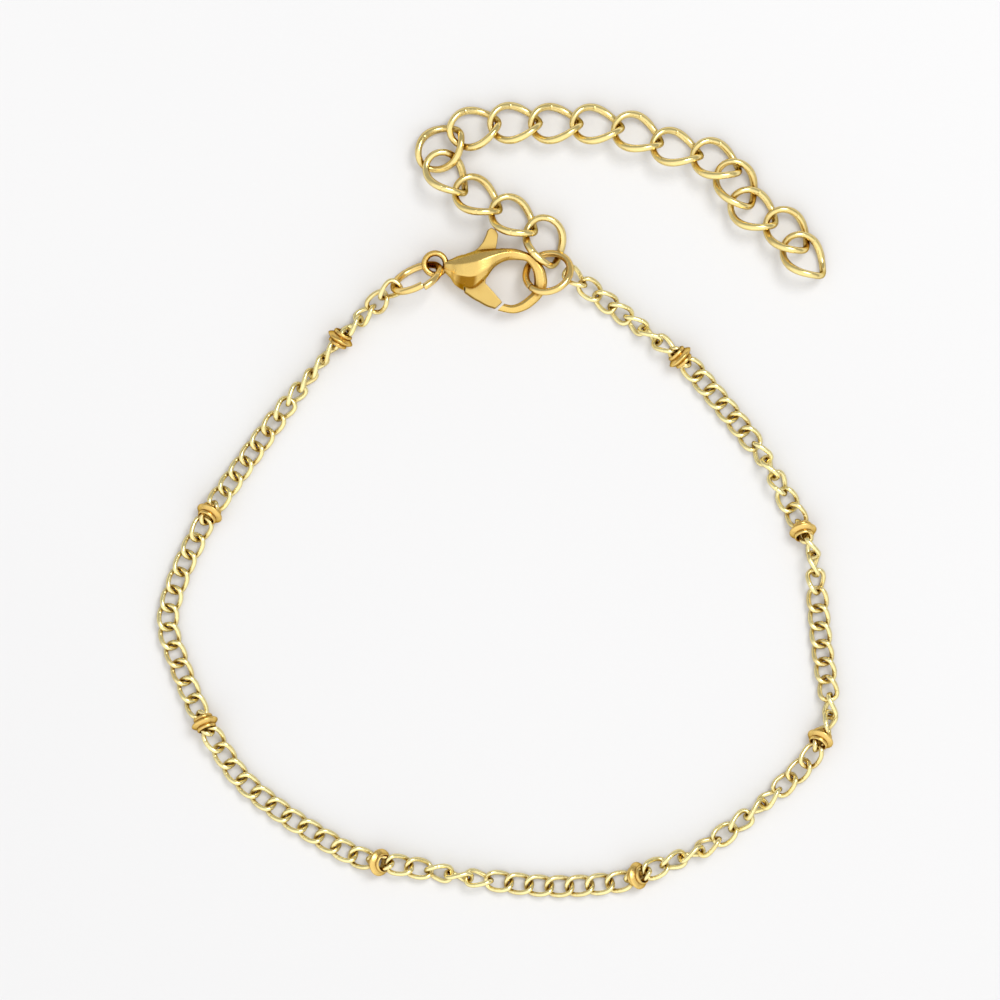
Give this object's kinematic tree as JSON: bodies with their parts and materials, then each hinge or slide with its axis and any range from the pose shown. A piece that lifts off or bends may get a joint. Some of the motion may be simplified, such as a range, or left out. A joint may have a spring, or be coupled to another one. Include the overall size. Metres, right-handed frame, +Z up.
{
  "type": "satellite chain bracelet",
  "caption": "Gold-tone satellite chain bracelet lying closed: fine curb chain with small ring beads, a lobster clasp and a curb-link extender.",
  "frame": {"origin": "on the surface the bracelet lies on, under the middle of its box", "axes": "+Z up out of the surface, +Y from the loop towards the clasp and the extender, +X to the right as seen from above"},
  "size_m": [0.0561, 0.0659, 0.0043],
  "materials": {
    "chain_gold": "gold-plated brass wire, tumbled bright",
    "extender_gold": "gold-plated brass wire, tumbled bright",
    "ring_gold": "gold-plated brass wire, drawn and bright",
    "bead_gold": "gold-plated turned brass, deeper tone",
    "clasp_gold": "gold-plated cast brass, polished on top, satin in the recesses"
  },
  "bodies": {
    "bracelet": {"chain": "chain_gold", "clasp_body": "clasp_gold", "end_ring": "ring_gold", "clasp_ring": "ring_gold", "bead_1": "bead_gold", "bead_2": "bead_gold", "bead_3": "bead_gold", "bead_4": "bead_gold", "bead_5": "bead_gold", "bead_6": "bead_gold", "bead_7": "bead_gold", "bead_8": "bead_gold", "extender_link_01": "extender_gold", "extender_link_02": "extender_gold", "extender_link_03": "extender_gold", "extender_link_04": "extender_gold", "extender_link_05": "extender_gold", "extender_link_06": "extender_gold", "extender_link_07": "extender_gold", "extender_link_08": "extender_gold", "extender_link_09": "extender_gold", "extender_link_10": "extender_gold", "extender_link_11": "extender_gold", "extender_link_12": "extender_gold", "extender_link_13": "extender_gold", "extender_link_14": "extender_gold", "extender_link_15": "extender_gold", "extender_link_16": "extender_gold"},
    "lever": {"clasp_lever": "clasp_gold"}
  },
  "joints": [
    {"name": "lever_hinge", "type": "hinge", "parent": "bracelet", "child": "lever", "pos_m": [-0.002, 0.01917, 0.0015], "axis": [0, 0, 1], "range_deg": [0, 25], "stiffness_Nm_per_rad": 0.002}
  ]
}
